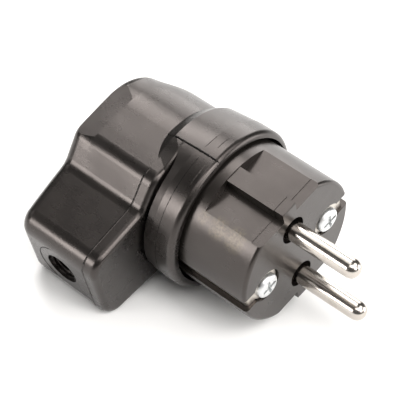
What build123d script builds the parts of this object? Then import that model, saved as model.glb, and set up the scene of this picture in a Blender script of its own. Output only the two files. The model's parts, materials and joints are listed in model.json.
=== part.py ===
from build123d import *
import math
import os

# Right-angled rewirable mains plug in a one-piece rubber hood.
# All lengths are millimetres. While it is drawn, +X is the way the pins point, the contact
# face lies at X = 0 and the cable leaves towards -Y. At the end the plug is rolled about X
# onto its collar and the lower edge of its cable block, so that +Z is up as it lies.

# Contact pins
pin_spacing = 19.0
pin_dia = 4.8
pin_reach = 19.0
pin_well_dia = 7.0
pin_well_depth = 2.2
pin_root_dia = 5.6
pin_flange_dia = 7.4
pin_flange_thickness = 3.0
pin_tail_dia = 6.4
pin_tail_reach = 11.0

# Contact insert
insert_dia = 37.0
insert_proud = 19.3
insert_seat_depth = 7.7
insert_edge_round = 0.9
guide_flat_height = 15.4
guide_flat_length = 16.3
guide_rib_width = 4.6
guide_rib_height = 18.2
guide_lead_in = 2.6
guide_lead_step = 0.15

# Earth contacts
earth_strip_width = 4.0
earth_strip_thickness = 0.8
earth_channel_depth = 2.2
earth_eye_dia = 8.0
earth_foot_dia = 7.2
earth_pocket_depth = 1.6
earth_bend_round = 0.7

# Face screws
face_screw_inset = 7.6
face_screw_dia = 4.0
face_screw_head_dia = 6.3
face_screw_head_height = 1.7
face_screw_head_round = 1.0
cross_recess_width = 0.9
cross_recess_length = 4.2
cross_recess_depth = 0.9

# Insert base, clamped behind the web of the hood
web_thickness = 2.5
base_flange_lap = 1.6
base_flange_thickness = 3.5
bush_dia = 5.6
bush_length = 5.0
bush_wall = 0.9

# Earth bridge and terminal
bridge_width = 6.2
bridge_thickness = 0.8
bridge_edge_round = 1.8
earth_block_side = 7.0
terminal_wire_dia = 3.0
terminal_wire_inset = 3.6
terminal_screw_dia = 3.0
terminal_screw_head_dia = 5.2
terminal_screw_head_height = 1.8
screw_slot_width = 0.8
screw_head_round = 0.4
inner_edge_round = 0.8

# Cord grip
cable_dia = 7.0
grip_y = -8.5
grip_length = 6.0
grip_screw_inset = 2.2
grip_gap = 4.0
grip_saddle_thickness = 3.4
grip_screw_spacing = 12.8
grip_screw_dia = 3.0
grip_screw_head_dia = 5.2
grip_screw_head_height = 1.9
grip_bush_dia = 4.6
grip_bush_length = 4.0

# Rubber hood: body behind the contact insert
lobe_height = 18.25
lobe_radius = 18.2
shoulder_y = -11.9
waist_y = -18.1
waist_height = 12.2
outlet_y = -35.9
outlet_height = 10.7
shoulder_round = 4.8
waist_round = 4.2
outlet_round = 4.8
lobe_taper_x = -44.0
lobe_end_width = 13.4
lobe_end_fullness = 0.85
lobe_narrowing_power = 2
lobe_squaring_power = 6
lobe_stations = 5
back_x = -56.0
back_crown_radius = 290.0
back_crown_y = 4.0
back_round = 3.0
back_facet_x = -49.3
back_facet_step = 0.12
back_facet_slope = 7.0
rear_round_share = 0.92
block_front_x = -29.0
block_front_round = 1.5
parting_x = -32.7
parting_step = 0.22

# Rubber hood: collar round the contact insert
collar_dia = 41.6
cable_half_dia = 41.2
cable_half_shift = 1.05
collar_foot_x = -36.2
collar_ridge_x = -33.0
collar_full_x = -24.9
collar_rise = 0.8
collar_slant_y = -8.7
collar_rear_x = -28.1
ramp_knee_x = -33.4
ramp_knee_dia = 38.8
ramp_top_dia = 40.4
ramp_front_round = 1.0
collar_band_x = -24.2
collar_band_step = 0.12
collar_groove_dia = 38.2
collar_parting_y = -0.6
lip_round = 1.5
lip_mouth_flare = 0.6
lip_flare_length = 1.8

# Rubber hood: hollow
hood_bore_clearance = 0.2
cavity_dia = 30.0
cavity_round = 4.0
back_wall = 4.6
passage_dia = 12.0
outlet_wall = 5.0
outlet_rim_dia = 8.8
outlet_rim_depth = 0.7
outlet_x = -41.5

# Fits
sliding_gap = 0.1
running_gap = 0.05
seat_gap = 0.3
screw_gap = 0.2

# Places worked out from the sizes above
pin_z = pin_spacing / 2
insert_r = insert_dia / 2
face_screw_y = insert_r - face_screw_inset
base_boss_r = face_screw_y + bush_dia / 2 + bush_wall
web_opening_dia = 2 * (base_boss_r + seat_gap)
base_flange_dia = web_opening_dia + 2 * base_flange_lap
lip_x = -insert_proud
insert_rear_x = lip_x - insert_seat_depth
web_rear_x = insert_rear_x - web_thickness
base_rear_x = web_rear_x - base_flange_thickness
tail_end_x = base_rear_x - pin_tail_reach + pin_flange_thickness
channel_floor_y = insert_r - earth_channel_depth
strip_outer_y = channel_floor_y + earth_strip_thickness
earth_eye_x = -earth_pocket_depth
grip_bed_x = outlet_x + grip_gap / 2
grip_saddle_x = outlet_x - grip_gap / 2
collar_r = collar_dia / 2
cavity_back_x = back_x + back_wall
grip_screw_z = grip_screw_spacing / 2
grip_width = grip_screw_spacing + 2 * grip_screw_inset
round_fullness = 4 / 3 * (math.sqrt(2) - 1)


def rod(diameter, x_rear, x_front, y=0.0, z=0.0):
    """Solid round bar along X between two stations."""
    length = x_front - x_rear
    return Pos((x_rear + x_front) / 2, y, z) * Rot(Y=90) * Cylinder(diameter / 2, length)


def cross_rod(diameter, y_low, y_high, x, z=0.0):
    """Solid round bar along Y between two stations."""
    return Pos(x, (y_low + y_high) / 2, z) * Rot(X=90) * Cylinder(diameter / 2, y_high - y_low)


def block(x_rear, x_front, y_low, y_high, z_low, z_high):
    """Box between six stations."""
    size = (x_front - x_rear, y_high - y_low, z_high - z_low)
    centre = ((x_rear + x_front) / 2, (y_low + y_high) / 2, (z_low + z_high) / 2)
    return Pos(*centre) * Box(*size)


def turned(outline):
    """Revolve a closed outline of (x, radius) points and curves about the X axis."""
    return revolve(make_face(outline), Axis.X)


def body_outline(grow=0.0):
    """Keyhole section of the hood across X: round lobe, sloping waist and cable block."""
    crest = (0, lobe_height)
    shoulder = (shoulder_y, lobe_height)
    waist = (waist_y, waist_height)
    outlet = (outlet_y, outlet_height)
    upper = Line(crest, shoulder) + Line(shoulder, waist) + Line(waist, outlet)
    lower = mirror(upper, Plane.XZ)
    end = Line(outlet, (outlet_y, -outlet_height))
    lobe = ThreePointArc((0, -lobe_height), (lobe_radius, 0), crest)
    sketch = make_face(upper + lower + end + lobe)
    sketch = fillet(corners_at(sketch, shoulder_y, lobe_height), shoulder_round)
    sketch = fillet(corners_at(sketch, waist_y, waist_height), waist_round)
    sketch = fillet(corners_at(sketch, outlet_y, outlet_height), outlet_round)
    if grow:
        sketch = offset(sketch, grow)
    return Plane.YZ * sketch


def corners_at(sketch, across, height, tolerance=0.01):
    """The two mirror-image corners of a section at the given place."""
    level = [v for v in sketch.vertices() if abs(abs(v.Y) - height) < tolerance]
    return [v for v in level if abs(v.X - across) < tolerance]


def lobe_half_section(t):
    """Far half of the lobe's section, from round at t = 0 to narrow and square-shouldered at 1."""
    width = lobe_radius + (lobe_end_width - lobe_radius) * t**lobe_narrowing_power
    pull = round_fullness + (lobe_end_fullness - round_fullness) * t**lobe_squaring_power
    crown = Bezier((0, lobe_height), (pull * width, lobe_height), (width, pull * lobe_height), (width, 0))
    outline = crown + mirror(crown, Plane.XZ) + Line((0, -lobe_height), (0, lobe_height))
    return Plane.YZ * make_face(outline)


def hood_body():
    """Rear body of the hood: narrowing far side, crowned back and rounded back edge."""
    near = extrude(body_outline() & Plane.YZ * near_half_plane(), parting_x - back_x, dir=(-1, 0, 0))
    far = extrude(lobe_half_section(0), parting_x - lobe_taper_x, dir=(-1, 0, 0))
    body = (near + far).moved(Location((parting_x, 0, 0)))
    span = back_x - lobe_taper_x
    steps = [k / lobe_stations for k in range(lobe_stations + 1)]
    body += loft([Pos(lobe_taper_x + t * span, 0, 0) * lobe_half_section(t) for t in steps])
    crown = Cylinder(back_crown_radius, 4 * lobe_radius)
    body &= Pos(back_x + back_crown_radius, back_crown_y, 0) * crown
    rear_edges = body.edges().filter_by(lambda e: e.center().X < back_x + back_wall)
    corner_limit = rear_round_share * min(shoulder_round, outlet_round)
    body = fillet(rear_edges, min(back_round, corner_limit))
    return body - back_facet() - mirror(back_facet(), Plane.XY)


def near_half_plane():
    """The cable side of the section plane."""
    return Pos(outlet_y, 0) * Rectangle(-2 * outlet_y, 4 * lobe_radius)


def back_facet():
    """What a shallow facet takes off the top of the lobe, one mould step below it and sloping back."""
    reach = lobe_taper_x - back_x
    wedge = Box(reach, 4 * lobe_radius, reach, align=(Align.MAX, Align.CENTER, Align.MIN))
    return Pos(back_facet_x, 0, lobe_height - back_facet_step) * Rot(Y=-back_facet_slope) * wedge


def hood_front_plate():
    """Front of the cable block, ahead of the parting line, one mould step larger all round."""
    section = body_outline(parting_step)
    plate = extrude(section, block_front_x - parting_x, dir=(1, 0, 0)).moved(Location((parting_x, 0, 0)))
    front_edges = plate.faces().sort_by(Axis.X)[-1].edges()
    return fillet(front_edges, block_front_round)


def collar_ring(radius):
    """Collar turned about the pin axis: steep ramp at its rear, slight cone and rounded lip."""
    front_r = radius - lip_round
    line = (
        Line((collar_foot_x, 0), (collar_foot_x, lobe_radius - parting_step))
        + Line((collar_foot_x, lobe_radius - parting_step), (collar_ridge_x, radius - collar_rise))
        + Line((collar_ridge_x, radius - collar_rise), (collar_full_x, radius))
        + Line((collar_full_x, radius), (lip_x - lip_round, radius))
        + RadiusArc((lip_x - lip_round, radius), (lip_x, front_r), lip_round)
        + Line((lip_x, front_r), (lip_x, 0))
        + Line((lip_x, 0), (collar_foot_x, 0))
    )
    return turned(line)


def front_plate_ramp():
    """Top of the front plate on the cable side, rising to a rounded edge and the parting groove."""
    top_r = ramp_top_dia / 2
    round_x = block_front_x - ramp_front_round
    groove_r = collar_groove_dia / 2
    line = (
        Line((collar_foot_x, 0), (collar_foot_x, lobe_radius - parting_step))
        + Line((collar_foot_x, lobe_radius - parting_step), (ramp_knee_x, ramp_knee_dia / 2))
        + Line((ramp_knee_x, ramp_knee_dia / 2), (round_x, top_r))
        + RadiusArc((round_x, top_r), (block_front_x, top_r - ramp_front_round), ramp_front_round)
        + Line((block_front_x, top_r - ramp_front_round), (block_front_x, groove_r))
        + Line((block_front_x, groove_r), (collar_rear_x, groove_r))
        + Line((collar_rear_x, groove_r), (collar_rear_x, 0))
        + Line((collar_rear_x, 0), (collar_foot_x, 0))
    )
    return turned(line)


def cable_half_space():
    """Space of the collar's cable half: its rear edge sweeps back to the ridge at the parting."""
    low_y = 2 * outlet_y
    sweep = TangentArc((collar_rear_x, collar_slant_y), (collar_ridge_x, collar_parting_y), tangent=(0, 1))
    sides = Polyline(
        (collar_ridge_x, collar_parting_y),
        (lip_x, collar_parting_y),
        (lip_x, low_y),
        (collar_rear_x, low_y),
        (collar_rear_x, collar_slant_y),
    )
    return extrude(make_face(sweep + sides), -low_y, both=True)


def hood_outside():
    """Whole outer form of the rubber hood, before it is hollowed."""
    cable_side = block(back_x, lip_x, 2 * outlet_y, collar_parting_y, 2 * outlet_y, -2 * outlet_y)
    band_dia = cable_half_dia - 2 * collar_band_step
    near_ring = collar_ring(cable_half_dia / 2) - ring(2 * collar_dia, band_dia, collar_rear_x, collar_band_x)
    near_half = Pos(0, -cable_half_shift, 0) * near_ring & cable_half_space()
    far_half = collar_ring(collar_r) - cable_side
    ramp = front_plate_ramp() & cable_side
    return hood_body() + hood_front_plate() + ramp + near_half + far_half


def ring(outer_dia, inner_dia, x_rear, x_front):
    """Round tube about the pin axis."""
    return rod(outer_dia, x_rear, x_front) - rod(inner_dia, x_rear, x_front)


def hood_mouth():
    """Bore that grips the contact insert, flared at the lip."""
    bore_r = insert_r + hood_bore_clearance
    mouth_r = bore_r + lip_mouth_flare
    flare_x = lip_x - lip_flare_length
    line = Polyline(
        (insert_rear_x, 0),
        (insert_rear_x, bore_r),
        (flare_x, bore_r),
        (lip_x, mouth_r),
        (lip_x, 0),
        close=True,
    )
    return turned(line)


def hood_cavity():
    """Web opening, pocket for the base flange and round wiring space."""
    pocket = rod(base_flange_dia + 2 * seat_gap, base_rear_x - seat_gap, web_rear_x)
    opening = rod(web_opening_dia, base_rear_x, insert_rear_x)
    space = rod(cavity_dia, cavity_back_x, base_rear_x)
    space = fillet(space.edges().sort_by(Axis.X)[0], cavity_round)
    return pocket + opening + space


def cable_way():
    """Rimmed outlet hole and the wider passage behind it."""
    sleeve_y = outlet_y + outlet_wall
    hole = cross_rod(cable_dia, outlet_y, sleeve_y, outlet_x)
    rim = cross_rod(outlet_rim_dia, outlet_y, outlet_y + outlet_rim_depth, outlet_x)
    passage = cross_rod(passage_dia, sleeve_y, 0, outlet_x)
    return hole + rim + passage


def rubber_hood():
    """Hood: collar, round rear lobe and cable block moulded in one piece."""
    return hood_outside() - hood_mouth() - hood_cavity() - cable_way()


def guide_section(step=0.0):
    """What the guide flats take off one side of the insert, with a rib left between the pair."""
    upward = (Align.CENTER, Align.MIN)
    side = Pos(0, guide_flat_height - step) * Rectangle(insert_dia, insert_r, align=upward)
    rib = Rectangle(guide_rib_width - 2 * step, insert_dia)
    trim = Pos(0, guide_rib_height - step) * Rectangle(guide_rib_width, insert_r, align=upward)
    return Plane.YZ * (side - rib + trim)


def contact_insert():
    """Moulded front insert that carries the pins, the earth contacts and the face screws."""
    body = rod(insert_dia, insert_rear_x, 0)
    body = fillet(body.edges().sort_by(Axis.X)[-1], insert_edge_round)
    for side in (-1, 1):
        body -= pin_hole(side) + earth_way(side)
    guide = extrude(guide_section(), guide_flat_length, dir=(-1, 0, 0))
    guide += extrude(guide_section(guide_lead_step), guide_lead_in, dir=(-1, 0, 0))
    return body - (guide + mirror(guide, Plane.XY))


def pin_hole(side):
    """Bore, flange seat and face well for one pin."""
    z = side * pin_z
    bore = rod(pin_root_dia + 2 * running_gap, insert_rear_x, -pin_well_depth, z=z)
    seat = rod(pin_flange_dia + 2 * sliding_gap, insert_rear_x, insert_rear_x + pin_flange_thickness, z=z)
    well = rod(pin_well_dia, -pin_well_depth, 0, z=z)
    return bore + seat + well


def earth_way(side):
    """Pocket, side channel, rear slot and screw hole for one earth contact."""
    half_slot = earth_strip_width / 2 + sliding_gap
    screw_y = side * face_screw_y
    floor_y = side * channel_floor_y
    rim_y = side * insert_dia
    channel = block(insert_rear_x, 0, *sorted((floor_y, rim_y)), -half_slot, half_slot)
    front_slot = block(-earth_pocket_depth, 0, *sorted((screw_y, rim_y)), -half_slot, half_slot)
    foot_x = insert_rear_x + earth_strip_thickness
    rear_slot = block(insert_rear_x, foot_x, *sorted((screw_y, rim_y)), -half_slot, half_slot)
    pocket = rod(earth_eye_dia + 2 * seat_gap, -earth_pocket_depth, 0, y=screw_y)
    foot_pocket = rod(earth_foot_dia + 2 * sliding_gap, insert_rear_x, foot_x, y=screw_y)
    screw_hole = rod(face_screw_dia + 2 * screw_gap, insert_rear_x, 0, y=screw_y)
    return channel + front_slot + rear_slot + pocket + foot_pocket + screw_hole


def earth_contact(side):
    """Bent strip: eye under the face screw, leg in the side channel, foot on the earth bridge."""
    half_width = earth_strip_width / 2
    screw_y = side * face_screw_y
    front_x = earth_eye_x + earth_strip_thickness
    legs = sorted((side * channel_floor_y, side * strip_outer_y))
    reach = sorted((screw_y, side * strip_outer_y))
    foot_x = insert_rear_x + earth_strip_thickness
    leg = block(insert_rear_x, front_x, *legs, -half_width, half_width)
    top = block(earth_eye_x, front_x, *reach, -half_width, half_width)
    foot = block(insert_rear_x, foot_x, *reach, -half_width, half_width)
    strip = leg + top + foot
    strip = fillet(outer_bends(strip, side), earth_bend_round)
    strip += rod(earth_eye_dia, earth_eye_x, front_x, y=screw_y)
    strip += rod(earth_foot_dia, insert_rear_x, foot_x, y=screw_y)
    return strip - rod(face_screw_dia + 2 * sliding_gap, insert_rear_x, 0, y=screw_y)


def outer_bends(strip, side, tolerance=0.01):
    """Edges along Z at the outer corners of a bent strip."""
    edges = strip.edges().filter_by(Axis.Z)
    return [e for e in edges if side * e.center().Y > strip_outer_y - tolerance]


def contact_pin(side):
    """Turned pin with a round nose, a flange trapped behind the insert and a terminal tail."""
    z = side * pin_z
    nose = Pos(pin_reach - pin_dia / 2, 0, z) * Sphere(pin_dia / 2)
    shank = rod(pin_dia, -pin_well_depth, pin_reach - pin_dia / 2, z=z)
    root = rod(pin_root_dia, insert_rear_x, -pin_well_depth, z=z)
    flange = rod(pin_flange_dia, insert_rear_x, insert_rear_x + pin_flange_thickness, z=z)
    tail = rod(pin_tail_dia, tail_end_x, insert_rear_x, z=z)
    wire_hole = Pos(tail_end_x + terminal_wire_inset, 0, z) * Rot(X=90) * wire_bore()
    return nose + shank + root + flange + tail - wire_hole - terminal_thread(z)


def wire_bore():
    """Cross bore that takes a stripped wire."""
    return Cylinder(terminal_wire_dia / 2, 2 * pin_tail_dia)


def terminal_thread(z):
    """Axial hole for a terminal screw, from the end of the tail into the cross bore."""
    deep_x = tail_end_x + terminal_wire_inset
    return rod(terminal_screw_dia + 2 * running_gap, tail_end_x, deep_x, z=z)


def terminal_screw(z):
    """Slotted terminal screw turned in from the rear."""
    head_rear_x = tail_end_x - terminal_screw_head_height
    shank = rod(terminal_screw_dia, tail_end_x, tail_end_x + terminal_wire_inset / 2, z=z)
    head = rod(terminal_screw_head_dia, head_rear_x, tail_end_x, z=z)
    head = fillet(head.edges().sort_by(Axis.X)[0], screw_head_round)
    slot_x = head_rear_x + terminal_screw_head_height / 2
    half = screw_slot_width / 2
    slot = block(head_rear_x, slot_x, -pin_tail_dia, pin_tail_dia, z - half, z + half)
    return head + shank - slot


def insert_base():
    """Rear moulding: boss in the web opening, flange behind the web and cord grip bed."""
    boss = rod(2 * base_boss_r, web_rear_x, insert_rear_x)
    flange = rod(base_flange_dia, base_rear_x, web_rear_x)
    half_grip = grip_width / 2
    low_y = grip_y - grip_length / 2
    bed = block(grip_bed_x, base_rear_x, low_y, low_y + grip_length, -half_grip, half_grip)
    base = boss + flange + fillet(bed.edges().filter_by(Axis.X), inner_edge_round)
    base -= cable_groove()
    half_bridge = bridge_width / 2 + sliding_gap
    slot_x = insert_rear_x - bridge_thickness
    base -= block(slot_x, insert_rear_x, -insert_r, insert_r, -half_bridge, half_bridge)
    half_block = earth_block_side / 2 + sliding_gap
    base -= block(base_rear_x, insert_rear_x, -half_block, half_block, -half_block, half_block)
    for side in (-1, 1):
        base -= rod(pin_tail_dia + 2 * sliding_gap, base_rear_x, insert_rear_x, z=side * pin_z)
        base -= rod(bush_dia + 2 * running_gap, base_rear_x, base_rear_x + bush_length, y=side * face_screw_y)
        base -= rod(face_screw_dia + 2 * sliding_gap, base_rear_x, insert_rear_x, y=side * face_screw_y)
        bush_front_x = grip_bed_x + grip_bush_length
        z = side * grip_screw_z
        base -= rod(grip_bush_dia + 2 * running_gap, grip_bed_x, bush_front_x, y=grip_y, z=z)
    return base


def cable_groove():
    """Round groove that the cable lies in, across the cord grip."""
    return cross_rod(cable_dia, grip_y - grip_length, grip_y + grip_length, outlet_x)


def earth_bridge():
    """Flat strap that joins the two earth contacts behind the insert."""
    half_length = base_boss_r - seat_gap
    half_width = bridge_width / 2
    rear_x = insert_rear_x - bridge_thickness
    strap = block(rear_x, insert_rear_x, -half_length, half_length, -half_width, half_width)
    strap = fillet(strap.edges().filter_by(Axis.X), bridge_edge_round)
    for side in (-1, 1):
        strap -= rod(face_screw_dia + 2 * sliding_gap, rear_x, insert_rear_x, y=side * face_screw_y)
    return strap


def earth_terminal():
    """Square brass terminal block behind the earth bridge."""
    half = earth_block_side / 2
    body = block(tail_end_x, insert_rear_x - bridge_thickness, -half, half, -half, half)
    body = fillet(body.edges().filter_by(Axis.X), inner_edge_round)
    body -= Pos(tail_end_x + terminal_wire_inset, 0, 0) * Rot(X=90) * wire_bore()
    return body - terminal_thread(0)


def face_screw(side):
    """Cross-recessed pan-head screw through the eye, insert and bridge into the base bush."""
    y = side * face_screw_y
    seat_x = earth_eye_x + earth_strip_thickness
    top_x = seat_x + face_screw_head_height
    head = rod(face_screw_head_dia, seat_x, top_x, y=y)
    head = fillet(head.edges().sort_by(Axis.X)[-1], face_screw_head_round)
    shank = rod(face_screw_dia, base_rear_x, seat_x, y=y)
    arm = cross_recess_length / 2
    half = cross_recess_width / 2
    deep_x = top_x - cross_recess_depth
    recess = block(deep_x, top_x, y - arm, y + arm, -half, half)
    recess += block(deep_x, top_x, y - half, y + half, -arm, arm)
    return head + shank - recess


def face_bush(side):
    """Threaded brass bush moulded into the base for a face screw."""
    y = side * face_screw_y
    front_x = base_rear_x + bush_length
    bush = rod(bush_dia, base_rear_x, front_x, y=y)
    return bush - rod(face_screw_dia + 2 * running_gap, base_rear_x, front_x, y=y)


def grip_bush(side):
    """Threaded brass bush moulded into the cord grip bed."""
    z = side * grip_screw_z
    front_x = grip_bed_x + grip_bush_length
    bush = rod(grip_bush_dia, grip_bed_x, front_x, y=grip_y, z=z)
    return bush - rod(grip_screw_dia + 2 * running_gap, grip_bed_x, front_x, y=grip_y, z=z)


def grip_saddle():
    """Saddle that presses the cable into the bed, held by two screws."""
    rear_x = grip_saddle_x - grip_saddle_thickness
    half_grip = grip_width / 2
    low_y = grip_y - grip_length / 2
    saddle = block(rear_x, grip_saddle_x, low_y, low_y + grip_length, -half_grip, half_grip)
    saddle = fillet(saddle.edges().filter_by(Axis.X), inner_edge_round)
    saddle -= cable_groove()
    for side in (-1, 1):
        z = side * grip_screw_z
        saddle -= rod(grip_screw_dia + 2 * sliding_gap, rear_x, grip_saddle_x, y=grip_y, z=z)
    return saddle


def grip_screw(side):
    """Slotted screw that pulls the saddle to the bed."""
    z = side * grip_screw_z
    seat_x = grip_saddle_x - grip_saddle_thickness
    head_rear_x = seat_x - grip_screw_head_height
    head = rod(grip_screw_head_dia, head_rear_x, seat_x, y=grip_y, z=z)
    head = fillet(head.edges().sort_by(Axis.X)[0], screw_head_round)
    shank = rod(grip_screw_dia, seat_x, grip_bed_x + grip_bush_length, y=grip_y, z=z)
    slot_x = head_rear_x + grip_screw_head_height / 2
    half = screw_slot_width / 2
    slot = block(head_rear_x, slot_x, grip_y - cable_dia, grip_y + cable_dia, z - half, z + half)
    return head + shank - slot


def resting_roll():
    """Roll about X at which the collar and the lower outlet corner of the block share a plane."""
    slope = math.atan2(waist_height - outlet_height, waist_y - outlet_y)
    corner_z = outlet_height + outlet_round * (math.tan(slope) - 1 / math.cos(slope))
    corner_y = outlet_y + outlet_round + cable_half_shift
    reach = math.hypot(corner_y, corner_z)
    start = math.atan2(corner_z, -corner_y)
    drop = cable_half_dia / 2 - outlet_round - parting_step
    return math.degrees(math.asin(drop / reach) - start)


def plug_parts():
    """Every piece of the plug by name."""
    return {
        "rubber_hood": rubber_hood(),
        "contact_insert": contact_insert(),
        "insert_base": insert_base(),
        "live_pin": contact_pin(1),
        "neutral_pin": contact_pin(-1),
        "live_terminal_screw": terminal_screw(pin_z),
        "neutral_terminal_screw": terminal_screw(-pin_z),
        "earth_contact_cable_side": earth_contact(-1),
        "earth_contact_far_side": earth_contact(1),
        "earth_bridge": earth_bridge(),
        "earth_terminal": earth_terminal(),
        "earth_terminal_screw": terminal_screw(0),
        "face_screw_cable_side": face_screw(-1),
        "face_screw_far_side": face_screw(1),
        "face_bush_cable_side": face_bush(-1),
        "face_bush_far_side": face_bush(1),
        "grip_saddle": grip_saddle(),
        "grip_screw_live_side": grip_screw(1),
        "grip_screw_neutral_side": grip_screw(-1),
        "grip_bush_live_side": grip_bush(1),
        "grip_bush_neutral_side": grip_bush(-1),
    }


os.makedirs("parts", exist_ok=True)
roll = resting_roll()
for name, piece in plug_parts().items():
    export_step(piece.rotate(Axis.X, roll), f"parts/{name}.step")
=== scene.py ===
import bmesh
import bpy
import json
import math
import random
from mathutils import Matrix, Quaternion, Vector


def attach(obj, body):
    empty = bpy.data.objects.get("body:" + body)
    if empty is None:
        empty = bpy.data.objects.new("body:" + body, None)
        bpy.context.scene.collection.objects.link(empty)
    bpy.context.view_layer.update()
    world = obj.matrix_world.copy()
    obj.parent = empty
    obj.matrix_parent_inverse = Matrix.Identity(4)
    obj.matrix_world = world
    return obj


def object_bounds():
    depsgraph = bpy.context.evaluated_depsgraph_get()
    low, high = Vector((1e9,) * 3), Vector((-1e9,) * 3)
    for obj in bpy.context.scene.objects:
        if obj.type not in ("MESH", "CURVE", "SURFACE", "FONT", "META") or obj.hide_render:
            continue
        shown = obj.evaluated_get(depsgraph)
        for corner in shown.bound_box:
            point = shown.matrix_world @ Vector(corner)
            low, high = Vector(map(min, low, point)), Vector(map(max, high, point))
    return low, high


# Right-angled rubber mains plug lying on a pale table. Lengths are metres in the row frame.
# Sizes and places on the plug are written in millimetres and multiplied by MM.

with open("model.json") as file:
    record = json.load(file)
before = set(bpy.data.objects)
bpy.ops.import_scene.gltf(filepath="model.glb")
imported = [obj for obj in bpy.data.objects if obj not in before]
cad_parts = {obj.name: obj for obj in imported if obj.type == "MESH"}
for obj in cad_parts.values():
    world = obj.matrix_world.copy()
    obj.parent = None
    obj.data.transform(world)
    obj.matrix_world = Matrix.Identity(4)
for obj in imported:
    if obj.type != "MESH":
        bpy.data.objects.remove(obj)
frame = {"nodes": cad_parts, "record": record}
CAD_BOX = [[float(c) for c in corner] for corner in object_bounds()]
NODES = frame["nodes"]
RECORD = frame["record"]
MM = 0.001

# Camera, at the photograph's viewing angle
CAMERA_AIM = Vector((-0.02646, -0.00392, 0.00107))
CAMERA_DISTANCE = 0.39926
CAMERA_AZIMUTH = 37.80
CAMERA_ELEVATION = 42.54
CAMERA_ROLL = 5.75
CAMERA_LENS = 153.57
CAMERA_SENSOR = 36.0
CAMERA_CLIP_START = 0.01

# Colour of the light that a bloomed black surface gives back
BLOOM = (1.0, 0.89, 0.845)
BLOOM_IOR = 1.6

# Studio lamps: name, azimuth and elevation in degrees, width in metres and radiance
LIGHT_DISTANCE = 0.7
LIGHT_COLOUR = (1.0, 0.985, 0.97)
LIGHTS = (
    ("right", 90.0, 31.0, 0.36, 6.0),
    ("right_high", 60.0, 58.0, 0.40, 4.0),
    ("back_right_high", 125.0, 54.0, 0.40, 3.0),
    ("right_edge", 84.0, 56.0, 0.22, 9.0),
    ("front_high", 12.0, 60.0, 0.34, 2.4),
    ("front_left_low", -28.0, 14.0, 0.27, 11.0),
    ("left", -64.0, 30.0, 0.30, 1.0),
    ("left_top", -64.0, 74.0, 0.32, 1.8),
    ("back_left_high", -118.0, 57.0, 0.36, 5.6),
    ("back_left_middle", -115.0, 36.0, 0.30, 5.2),
    ("back_left", -150.0, 28.0, 0.38, 3.8),
    ("back_left_low", -150.0, 6.0, 0.30, 2.2),
    ("back_right_low", 135.0, 8.0, 0.46, 4.8),
)
WORLD_STRENGTH = 0.12
WORLD_COLOUR = (1.0, 0.99, 0.98)

# Table top, with faint darker clouds in its paper
FLOOR_COLOUR = (0.95, 0.95, 0.945)
FLOOR_CLOUD_SHARE = 0.985
FLOOR_SIZE = 6.0

# The plug's own directions: +X along the pins and the cable towards -Y. The row frame holds
# the plug rolled about X, by the angle that the cable outlet's axis shows.
MOUNTS = {mount["name"]: mount for mount in RECORD["mounts"]}
OUTLET = MOUNTS["cable_outlet"]
ROLL = math.atan2(-OUTLET["axis"][2], -OUTLET["axis"][1])
ALONG_PINS = (1.0, 0.0, 0.0)
ALONG_CABLE = (0.0, 1.0, 0.0)

# Partings, in millimetres in the plug's own directions. The skin radii tell the outside of the
# hood from the hollows inside it, and the shifts set the flash beside its line.
BLOCK_PARTING_X = -32.7
BLOCK_PARTING_TOP_Y = -9.6
COLLAR_PARTING_Y = -0.6
COLLAR_RIDGE_X = -33.0
LIP_END_X = -19.7
BLOCK_SKIN_RADIUS = 15.5
COLLAR_SKIN_RADIUS = 19.6
COLLAR_TOP_Z = 19.0
# Half width and shift of the dark beads of painted shade along the partings
LINE_HALF_WIDTH = 0.26
LINE_SHIFT = -0.05
FLASH_HALF_WIDTH = 0.12
BLOCK_FLASH_SHIFT = 0.10
COLLAR_FLASH_SHIFT = 0.09

# Fine raised lines: place, level along the pins, first and last angle about them
MOULD_LINE_HALF_WIDTH = 0.09
MOULD_LINES = (
    ("far_rear", -24.8, 91.5, 106.0),
    ("far_front", -22.4, 94.0, 109.0),
    ("near_front", -21.7, 58.0, 86.0),
)

# Edge of the collar's band, on the side of the cable, where a dark bead paints the shade of its step
BAND_EDGE_X = -24.25
BAND_EDGE_HALF_WIDTH = 0.13

# Cable outlet, in the same directions, with the ribs in its sleeve
OUTLET_X = OUTLET["pos_m"][0] / MM
OUTLET_FACE_Y = -35.9
# The contour is a dark bead of painted shade round the outlet
OUTLET_CONTOUR_RADIUS = 6.9
OUTLET_CONTOUR_SPAN = (105.0, 245.0)
BORE_RADIUS = OUTLET["dims"]["r_mm"]
BORE_RIBS_Y = (-34.4, -33.3, -32.2)
BORE_RIB_HALF_WIDTH = 0.2

# Beads: spacing of their rings, rings over which an end tapers, what the tip keeps of one
# ring's taper, and how far a bead stays inside the outer box of the CAD model
BEAD_STEP = 0.35
BEAD_TAPER_RINGS = 3.0
BEAD_TIP_SHARE = 0.4
BOX_MARGIN = 0.01

# Digits of a metre to which two ends of cut edges are the same place
SAME_PLACE_DIGITS = 8

# Soft hollow that blends the facet on the lobe into the rest: its place and reach along the
# pins, the heights between which it sets in, and its depth
FACET_X = -49.3
FACET_REACH = 2.0
FACET_LOW_Z = 16.0
FACET_HIGH_Z = 18.0
FACET_HOLLOW = 0.10

# Painted warm highlight on the insert, in grainy patches: place along the pins, angle about them and
# radius
INSERT_RADIUS = 18.5
INSERT_PAINTED_HIGHLIGHTS = ((-16.0, 52.0, 2.0), (-11.5, 51.0, 3.2), (-6.5, 51.0, 3.6))
PAINTED_HIGHLIGHT_COLOUR = (0.13, 0.11, 0.06)
PAINTED_HIGHLIGHT_GRAIN = 0.7
PAINTED_HIGHLIGHT_CORE_SHARE = 0.3


def direction(azimuth, elevation):
    """Unit vector from the object towards a place at the given angles."""
    a = math.radians(azimuth)
    e = math.radians(elevation)
    return Vector((math.sin(a) * math.cos(e), -math.cos(a) * math.cos(e), math.sin(e)))


# Node helpers

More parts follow.
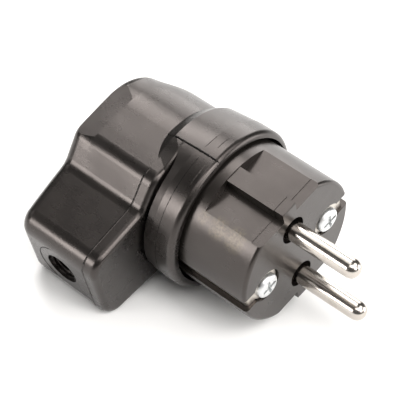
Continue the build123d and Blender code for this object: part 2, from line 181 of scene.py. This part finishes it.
class Finish:
    """A Principled material with textures laid out in millimetres of the row frame."""

    def __init__(self, name, colour, roughness, metallic=0.0, specular=0.5):
        self.material = bpy.data.materials.new(name)
        self.material.use_nodes = True
        self.tree = self.material.node_tree
        self.shader = self.tree.nodes["Principled BSDF"]
        self.colour = colour
        self.roughness = roughness
        self.shader.inputs["Base Color"].default_value = (*colour, 1.0)
        self.shader.inputs["Roughness"].default_value = roughness
        self.shader.inputs["Metallic"].default_value = metallic
        self.shader.inputs["Specular IOR Level"].default_value = specular
        self.place = self.node("ShaderNodeTexCoord").outputs["Object"]
        self.tint = None
        self.gloss = None
        self.normal = None

    def bloom(self):
        """Gives the gloss the stronger, faintly warm return of a waxy black surface."""
        self.shader.inputs["IOR"].default_value = BLOOM_IOR
        self.shader.inputs["Specular Tint"].default_value = (*BLOOM, 1.0)

    def node(self, kind, **inputs):
        """New node, with the given values set on the sockets of those names."""
        made = self.tree.nodes.new(kind)
        for key, value in inputs.items():
            made.inputs[key].default_value = value
        return made

    def link(self, source, target):
        """Feeds one socket into another."""
        self.tree.links.new(source, target)

    def mapped(self, size_mm, turn=(0.0, 0.0, 0.0)):
        """Coordinates with one unit for each given size in millimetres, a number or three."""
        sizes = size_mm if isinstance(size_mm, tuple) else (size_mm,) * 3
        mapping = self.node("ShaderNodeMapping")
        mapping.inputs["Rotation"].default_value = [math.radians(t) for t in turn]
        mapping.inputs["Scale"].default_value = [1.0 / (s * MM) for s in sizes]
        self.link(self.place, mapping.inputs["Vector"])
        return mapping.outputs["Vector"]

    def noise(self, size_mm, detail=3.0, rough=0.5):
        """Noise of about 0 to 1, with grains of the given size, a number or three."""
        made = self.node("ShaderNodeTexNoise", Scale=1.0, Detail=detail, Roughness=rough)
        self.link(self.mapped(size_mm), made.inputs["Vector"])
        return made.outputs["Fac"]

    def remap(self, value, low, high, to_low=0.0, to_high=1.0):
        """Value taken from one range to another and held at its ends."""
        made = self.node("ShaderNodeMapRange")
        made.inputs["From Min"].default_value = low
        made.inputs["From Max"].default_value = high
        made.inputs["To Min"].default_value = to_low
        made.inputs["To Max"].default_value = to_high
        self.link(value, made.inputs["Value"])
        return made.outputs["Result"]

    def blend_colour(self, factor, other):
        """Mixes another colour over what the base colour has so far."""
        mix = self.node("ShaderNodeMix")
        mix.data_type = "RGBA"
        under, over = [socket for socket in mix.inputs if socket.type == "RGBA"]
        if self.tint is None:
            under.default_value = (*self.colour, 1.0)
        else:
            self.link(self.tint, under)
        over.default_value = (*other, 1.0)
        self.link(factor, mix.inputs["Factor"])
        self.tint = [socket for socket in mix.outputs if socket.type == "RGBA"][0]
        self.link(self.tint, self.shader.inputs["Base Color"])

    def compute(self, operation, *values):
        """Result of a Math node on up to three values, each a socket or a number."""
        made = self.node("ShaderNodeMath")
        made.operation = operation
        for socket, value in zip(made.inputs, values):
            if isinstance(value, (int, float)):
                socket.default_value = value
            else:
                self.link(value, socket)
        return made.outputs[0]

    def plug_axes(self):
        """Sockets of the place in millimetres along the plug's own directions."""
        turned = self.mapped(1.0, (-math.degrees(ROLL), 0.0, 0.0))
        split = self.node("ShaderNodeSeparateXYZ")
        self.link(turned, split.inputs[0])
        return split.outputs

    def mottle(self, colour, size_mm, low, high, **noise):
        """Mixes a colour in where a noise of the given size rises from low to high."""
        self.blend_colour(self.remap(self.noise(size_mm, **noise), low, high), colour)

    def paint_highlight(self, centre, radius_mm, colour, grain_mm):
        """Paints a highlight of the given colour into the base colour round a place in the row frame,
        broken up by a noise.
        """
        away = self.node("ShaderNodeVectorMath")
        away.operation = "DISTANCE"
        self.link(self.place, away.inputs[0])
        away.inputs[1].default_value = centre
        radius = radius_mm * MM
        near = self.remap(away.outputs["Value"], radius, PAINTED_HIGHLIGHT_CORE_SHARE * radius)
        grains = self.remap(self.noise(grain_mm, detail=4.0, rough=0.7), 0.35, 0.75)
        self.blend_colour(self.compute("MULTIPLY", near, grains), colour)

    def vary_gloss(self, amount, size_mm, **noise):
        """Varies the roughness by up to half the amount either way, with a noise."""
        if self.gloss is None:
            base = self.roughness - amount / 2
        else:
            base = self.compute("SUBTRACT", self.gloss, amount / 2)
        self.gloss = self.compute("MULTIPLY_ADD", self.noise(size_mm, **noise), amount, base)
        self.link(self.gloss, self.shader.inputs["Roughness"])

    def relief(self, depth_mm, height):
        """Adds relief of the given depth on top of the relief so far."""
        made = self.node("ShaderNodeBump", Strength=1.0, Distance=depth_mm * MM)
        self.link(height, made.inputs["Height"])
        if self.normal is not None:
            self.link(self.normal, made.inputs["Normal"])
        self.normal = made.outputs["Normal"]
        self.link(self.normal, self.shader.inputs["Normal"])

    def grain(self, depth_mm, size_mm, **noise):
        """Adds relief with grains of the given size."""
        self.relief(depth_mm, self.noise(size_mm, **noise))


# Materials

def facet_hollow(f):
    """Height from 0 at the facet's edge on the top and the underside to 1 away from it."""
    x, _, z = f.plug_axes()
    away = f.compute("ABSOLUTE", f.compute("SUBTRACT", x, FACET_X))
    near = f.compute("EXPONENT", f.compute("MULTIPLY", away, -1.0 / FACET_REACH))
    on_top = f.remap(f.compute("ABSOLUTE", z), FACET_LOW_Z, FACET_HIGH_Z)
    return f.remap(f.compute("MULTIPLY", near, on_top), 0.0, 1.0, 1.0, 0.0)


def rubber():
    """Black moulded rubber: soft hollows, orange peel, fine grain, waxy bloom and a little dust."""
    f = Finish("hood_rubber", (0.004, 0.0036, 0.0032), 0.28)
    f.bloom()
    f.mottle((0.009, 0.0078, 0.0068), 9.0, 0.45, 0.75, detail=4.0, rough=0.6)
    f.mottle((0.02, 0.018, 0.016), 0.35, 0.72, 0.78, detail=2.0)
    f.vary_gloss(0.10, 6.0)
    f.vary_gloss(0.03, (7.0, 0.7, 0.7), detail=2.0)
    f.relief(FACET_HOLLOW, facet_hollow(f))
    f.grain(0.28, 14.0, detail=1.0)
    f.grain(0.012, 1.6, detail=2.0)
    f.grain(0.006, 0.16, detail=2.0)
    return f.material


def moulded(name, colour, roughness):
    """Hard black moulding: fine grain, faint flow marks along the pins and patches of painted warm
    highlight.
    """
    f = Finish(name, colour, roughness)
    f.bloom()
    lighter = tuple(1.5 * c for c in colour)
    f.mottle(lighter, 6.0, 0.45, 0.8, detail=4.0, rough=0.6)
    # Patches of painted warm highlight on the insert's side
    for x, angle, size in INSERT_PAINTED_HIGHLIGHTS:
        turn = math.radians(angle)
        place = plug_point(x, -INSERT_RADIUS * math.cos(turn), INSERT_RADIUS * math.sin(turn))
        f.paint_highlight(place, size, PAINTED_HIGHLIGHT_COLOUR, PAINTED_HIGHLIGHT_GRAIN)
    f.vary_gloss(0.14, 5.0)
    f.vary_gloss(0.06, (6.0, 0.5, 0.5), detail=2.0)
    f.grain(0.12, 10.0, detail=1.0)
    f.grain(0.008, 0.9, detail=2.0)
    f.grain(0.004, 0.14, detail=2.0)
    return f.material


def plated_pin():
    """Bright nickel plate over turned brass, with faint rings and handling scratches."""
    f = Finish("nickel_plate", (0.52, 0.48, 0.44), 0.19, metallic=1.0)
    f.mottle((0.42, 0.38, 0.33), 3.0, 0.5, 0.8)
    f.vary_gloss(0.08, 2.0)
    f.vary_gloss(0.07, (0.12, 4.0, 4.0), detail=1.0)
    f.grain(0.0012, (0.10, 5.0, 5.0), detail=1.0)
    f.grain(0.0010, (4.0, 0.10, 0.10), detail=2.0)
    return f.material


def plated_strip():
    """Rolled and plated strip: fine lines along the pins and a slight waviness."""
    f = Finish("nickel_strip", (0.62, 0.58, 0.53), 0.34, metallic=1.0)
    f.mottle((0.50, 0.46, 0.40), 1.5, 0.5, 0.8)
    f.vary_gloss(0.16, 1.2)
    f.grain(0.003, (3.0, 0.12, 0.12), detail=2.0)
    f.grain(0.006, 0.6, detail=2.0)
    return f.material


def zinc():
    """Zinc plated steel of the screws: bluish, slightly clouded, with a fine grain."""
    f = Finish("zinc_steel", (0.72, 0.73, 0.73), 0.44, metallic=1.0)
    f.mottle((0.58, 0.59, 0.60), 0.8, 0.5, 0.85)
    f.vary_gloss(0.18, 0.7)
    f.grain(0.006, 0.35, detail=2.0)
    return f.material


def brass():
    """Turned brass with fine rings and a little tarnish."""
    f = Finish("brass", (0.78, 0.58, 0.27), 0.30, metallic=1.0)
    f.mottle((0.46, 0.33, 0.16), 1.6, 0.5, 0.8, detail=4.0)
    f.vary_gloss(0.2, 1.0)
    f.grain(0.003, (0.12, 3.0, 3.0), detail=1.0)
    return f.material


def parting_line():
    """Dull dark bead of painted shade, for the crease where two mould halves met."""
    f = Finish("parting_line", (0.003, 0.0028, 0.0026), 0.85, specular=0.15)
    f.mottle((0.008, 0.0075, 0.007), 1.2, 0.55, 0.8)
    f.vary_gloss(0.1, 0.8, detail=2.0)
    f.grain(0.01, 0.2, detail=2.0)
    return f.material


def paper():
    """Pale matt paper of the table top, with faint clouds and fine fibres."""
    f = Finish("floor_paper", FLOOR_COLOUR, 0.75)
    clouds = tuple(FLOOR_CLOUD_SHARE * c for c in FLOOR_COLOUR)
    f.mottle(clouds, 40.0, 0.4, 0.7, detail=2.0)
    f.grain(0.01, 0.5)
    return f.material


def dress_nodes():
    """Gives every CAD node the material of its slot."""
    made = {
        "hood_rubber": rubber(),
        "insert_plastic": moulded("insert_plastic", (0.0075, 0.0065, 0.0055), 0.30),
        "base_plastic": moulded("base_plastic", (0.03, 0.029, 0.028), 0.45),
        "nickel_plate": plated_pin(),
        "nickel_strip": plated_strip(),
        "zinc_steel": zinc(),
        "brass": brass(),
    }
    for part in RECORD["subparts"]:
        node = NODES[part["node"]]
        node.data.materials.clear()
        node.data.materials.append(made[part["material_slot"]])
    return made


# Partings with their painted shade lines, flash and mould lines

def plug_point(x, y, z):
    """Place in the row frame, in metres, of millimetres in the plug's own directions."""
    c = math.cos(ROLL)
    s = math.sin(ROLL)
    return Vector((x, y * c - z * s, y * s + z * c)) * MM


def plug_coordinates(place):
    """Millimetres in the plug's own directions of a place in the row frame."""
    c = math.cos(ROLL)
    s = math.sin(ROLL)
    return (place.x / MM, (place.y * c + place.z * s) / MM, (place.z * c - place.y * s) / MM)


def cut_links(node, level, axis, wanted):
    """Edges in which a plane cuts a node, where wanted(x, y, z) holds, as each end's other ends."""
    solid = bmesh.new()
    solid.from_mesh(NODES[node].data)
    solid.transform(NODES[node].matrix_world)
    place = plug_point(*[level * a for a in axis])
    everything = solid.verts[:] + solid.edges[:] + solid.faces[:]
    facing = plug_point(*axis).normalized()
    reach = 10 ** -SAME_PLACE_DIGITS
    cut = bmesh.ops.bisect_plane(
        solid, geom=everything, dist=reach, plane_co=place, plane_no=facing
    )
    links = {}
    for edge in cut["geom_cut"]:
        if not isinstance(edge, bmesh.types.BMEdge):
            continue
        ends = [tuple(round(c, SAME_PLACE_DIGITS) for c in v.co) for v in edge.verts]
        if all(wanted(*plug_coordinates(Vector(e))) for e in ends):
            links.setdefault(ends[0], set()).add(ends[1])
            links.setdefault(ends[1], set()).add(ends[0])
    solid.free()
    return links


def joined_line(links):
    """Takes one line out of the links, from a free end where there is one, and returns it."""
    tips = [place for place, others in links.items() if len(others) == 1]
    here = min(tips) if tips else min(links)
    line = [here]
    while links.get(here):
        step = min(links[here])
        links[here].discard(step)
        links[step].discard(here)
        line.append(step)
        here = step
    for place in [place for place, others in links.items() if not others]:
        del links[place]
    return [Vector(place) for place in line]


def cut_line(node, level, axis, wanted):
    """Longest line in which a plane cuts a node, of the stretches where wanted(x, y, z) holds."""
    links = cut_links(node, level, axis, wanted)
    lines = []
    while links:
        lines.append(joined_line(links))
    return max(lines, key=line_length)


def line_length(line):
    """Length of a line of points."""
    return sum((b - a).length for a, b in zip(line, line[1:]))


def evenly_spaced(line, step):
    """Points at even steps along a line."""
    count = max(2, round(line_length(line) / step))
    gap = line_length(line) / count
    points = [line[0]]
    walked = 0.0
    for a, b in zip(line, line[1:]):
        stretch = (b - a).length
        while stretch > 0 and walked + stretch >= gap * len(points) and len(points) < count:
            points.append(a.lerp(b, (gap * len(points) - walked) / stretch))
        walked += stretch
    return points + [line[-1]]


def bead(name, line, axis, half_width, material, uneven=0.3, sides=8):
    """Fine bead along a line that lies in a plane, uneven as moulding flash is."""
    chance = random.Random(name)
    points = evenly_spaced(line, BEAD_STEP * MM)
    across = plug_point(*axis).normalized()
    verts = []
    for i, point in enumerate(points):
        along = (points[min(i + 1, len(points) - 1)] - points[max(i - 1, 0)]).normalized()
        outward = along.cross(across).normalized()
        from_end = min(i, len(points) - 1 - i)
        taper = min(1.0, (from_end + BEAD_TIP_SHARE) / BEAD_TAPER_RINGS)
        radius = half_width * MM * taper * (1.0 + chance.uniform(-uneven, uneven))
        for k in range(sides):
            turn = 2 * math.pi * k / sides
            verts.append(point + radius * (math.cos(turn) * across + math.sin(turn) * outward))
    rows = len(points)
    faces = []
    for i in range(rows - 1):
        for k in range(sides):
            after = (k + 1) % sides
            this_ring = i * sides
            next_ring = this_ring + sides
            faces.append((this_ring + k, this_ring + after, next_ring + after, next_ring + k))
    faces.append(tuple(reversed(range(sides))))
    faces.append(tuple((rows - 1) * sides + k for k in range(sides)))
    return place_piece(name, verts, faces, material)


def place_piece(name, verts, faces, material):
    """Mesh piece on the hood, kept inside the outer box of the CAD model."""
    low, high = [Vector(corner) for corner in CAD_BOX]
    margin = BOX_MARGIN * MM
    inside = [[min(max(v[i], low[i] + margin), high[i] - margin) for i in range(3)] for v in verts]
    mesh = bpy.data.meshes.new(name)
    mesh.from_pydata(inside, [], faces)
    mesh.materials.append(material)
    mesh.shade_smooth()
    shape = bmesh.new()
    shape.from_mesh(mesh)
    bmesh.ops.recalc_face_normals(shape, faces=shape.faces)
    shape.to_mesh(mesh)
    shape.free()
    piece = bpy.data.objects.new(name, mesh)
    bpy.context.collection.objects.link(piece)
    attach(piece, "root")
    return piece


def circle(x, y, radius, first=0.0, last=360.0, steps=72):
    """Circle about the cable's axis, or the arc of it between two angles."""
    turns = [math.radians(first + (last - first) * k / steps) for k in range(steps + 1)]
    return [plug_point(x + radius * math.cos(t), y, radius * math.sin(t)) for t in turns]


def angle_about_pins(y, z):
    """Angle about the plug's axis: 0 towards the cable and 90 at the top."""
    return math.degrees(math.atan2(z, -y))


def build_partings(rubber_finish, line_finish):
    """Painted shade lines along the partings of the block and the collar, with the flash beside them.
    """

    def on_block(x, y, z):
        return y < BLOCK_PARTING_TOP_Y and math.hypot(y, z) > BLOCK_SKIN_RADIUS

    line = cut_line("rubber_hood", BLOCK_PARTING_X + LINE_SHIFT, ALONG_PINS, on_block)
    # Dark bead of painted shade along the block's parting
    bead("block_parting_line", line, ALONG_PINS, LINE_HALF_WIDTH, line_finish)
    line = cut_line("rubber_hood", BLOCK_PARTING_X + BLOCK_FLASH_SHIFT, ALONG_PINS, on_block)
    bead("block_parting_flash", line, ALONG_PINS, FLASH_HALF_WIDTH, rubber_finish)
    for side, up in (("top", 1), ("bottom", -1)):

        def on_collar(x, y, z):
            return COLLAR_RIDGE_X < x < LIP_END_X and up * z > COLLAR_TOP_Z

        line = cut_line("rubber_hood", COLLAR_PARTING_Y + LINE_SHIFT, ALONG_CABLE, on_collar)
        # Dark bead of painted shade along the collar's parting
        bead(f"collar_parting_line_{side}", line, ALONG_CABLE, LINE_HALF_WIDTH, line_finish)
        line = cut_line("rubber_hood", COLLAR_PARTING_Y + COLLAR_FLASH_SHIFT, ALONG_CABLE, on_collar)
        bead(f"collar_parting_flash_{side}", line, ALONG_CABLE, FLASH_HALF_WIDTH, rubber_finish)


def build_mould_lines(rubber_finish, line_finish):
    """Painted shade line along the edge of the collar's band, and fine raised lines that a worn mould
    leaves beside it.
    """

    def on_band_edge(x, y, z):
        return y < COLLAR_PARTING_Y and math.hypot(y, z) > COLLAR_SKIN_RADIUS

    # Dark bead of painted shade along the step at the band's edge
    line = cut_line("rubber_hood", BAND_EDGE_X, ALONG_PINS, on_band_edge)
    bead("collar_band_edge", line, ALONG_PINS, BAND_EDGE_HALF_WIDTH, line_finish)
    for place, level, first, last in MOULD_LINES:

        def on_span(x, y, z):
            on_skin = math.hypot(y, z) > COLLAR_SKIN_RADIUS
            return on_skin and first < angle_about_pins(y, z) < last

        line = cut_line("rubber_hood", level, ALONG_PINS, on_span)
        bead(f"collar_mould_line_{place}", line, ALONG_PINS, MOULD_LINE_HALF_WIDTH, rubber_finish)


def build_outlet_lines(rubber_finish, line_finish):
    """Dark bead of painted shade round the cable outlet, and the grip ribs in its sleeve."""
    contour = circle(OUTLET_X, OUTLET_FACE_Y, OUTLET_CONTOUR_RADIUS, *OUTLET_CONTOUR_SPAN)
    bead("outlet_contour", contour, ALONG_CABLE, MOULD_LINE_HALF_WIDTH, line_finish, uneven=0.15)
    for number, y in enumerate(BORE_RIBS_Y):
        rib = circle(OUTLET_X, y, BORE_RADIUS)
        bead(f"outlet_rib_{number}", rib, ALONG_CABLE, BORE_RIB_HALF_WIDTH, rubber_finish, uneven=0.05)


# Studio

def build_floor():
    """Wide pale table top that the plug rests on."""
    half = FLOOR_SIZE / 2
    low = CAD_BOX[0][2]
    corners = [(-half, -half, low), (half, -half, low), (half, half, low), (-half, half, low)]
    mesh = bpy.data.meshes.new("floor")
    mesh.from_pydata(corners, [], [(0, 1, 2, 3)])
    floor = bpy.data.objects.new("floor", mesh)
    bpy.context.collection.objects.link(floor)
    mesh.materials.append(paper())


def build_lights():
    """Soft boxes on the studio's dome, all facing the plug, and an even surround."""
    for name, azimuth, elevation, width, radiance in LIGHTS:
        data = bpy.data.lights.new(name, "AREA")
        data.shape = "DISK"
        data.size = width
        area = math.pi * (width / 2) ** 2
        data.energy = radiance * area * math.pi
        data.color = LIGHT_COLOUR
        lamp = bpy.data.objects.new(name, data)
        towards = direction(azimuth, elevation)
        lamp.location = towards * LIGHT_DISTANCE
        lamp.rotation_euler = towards.to_track_quat("Z", "Y").to_euler()
        bpy.context.collection.objects.link(lamp)
    world = bpy.data.worlds.new("surround")
    world.use_nodes = True
    background = world.node_tree.nodes["Background"]
    background.inputs["Color"].default_value = (*WORLD_COLOUR, 1.0)
    background.inputs["Strength"].default_value = WORLD_STRENGTH
    bpy.context.scene.world = world


def build_camera():
    """Camera on its line of sight, turned a little about it as the photograph is."""
    back = direction(CAMERA_AZIMUTH, CAMERA_ELEVATION)
    data = bpy.data.cameras.new("camera")
    data.lens = CAMERA_LENS
    data.sensor_width = CAMERA_SENSOR
    data.clip_start = CAMERA_CLIP_START
    camera = bpy.data.objects.new("camera", data)
    camera.rotation_mode = "QUATERNION"
    level = back.to_track_quat("Z", "Y")
    camera.rotation_quaternion = Quaternion(back, math.radians(CAMERA_ROLL)) @ level
    camera.location = CAMERA_AIM + back * CAMERA_DISTANCE
    bpy.context.collection.objects.link(camera)
    bpy.context.scene.camera = camera


build_camera()
finishes = dress_nodes()
seam_shade_finish = parting_line()
# Dark beads of painted shade along the partings, the band edge and the outlet contour
build_partings(finishes["hood_rubber"], seam_shade_finish)
build_mould_lines(finishes["hood_rubber"], seam_shade_finish)
build_outlet_lines(finishes["hood_rubber"], seam_shade_finish)
build_floor()
build_lights()
bpy.context.scene.view_settings.view_transform = "Standard"
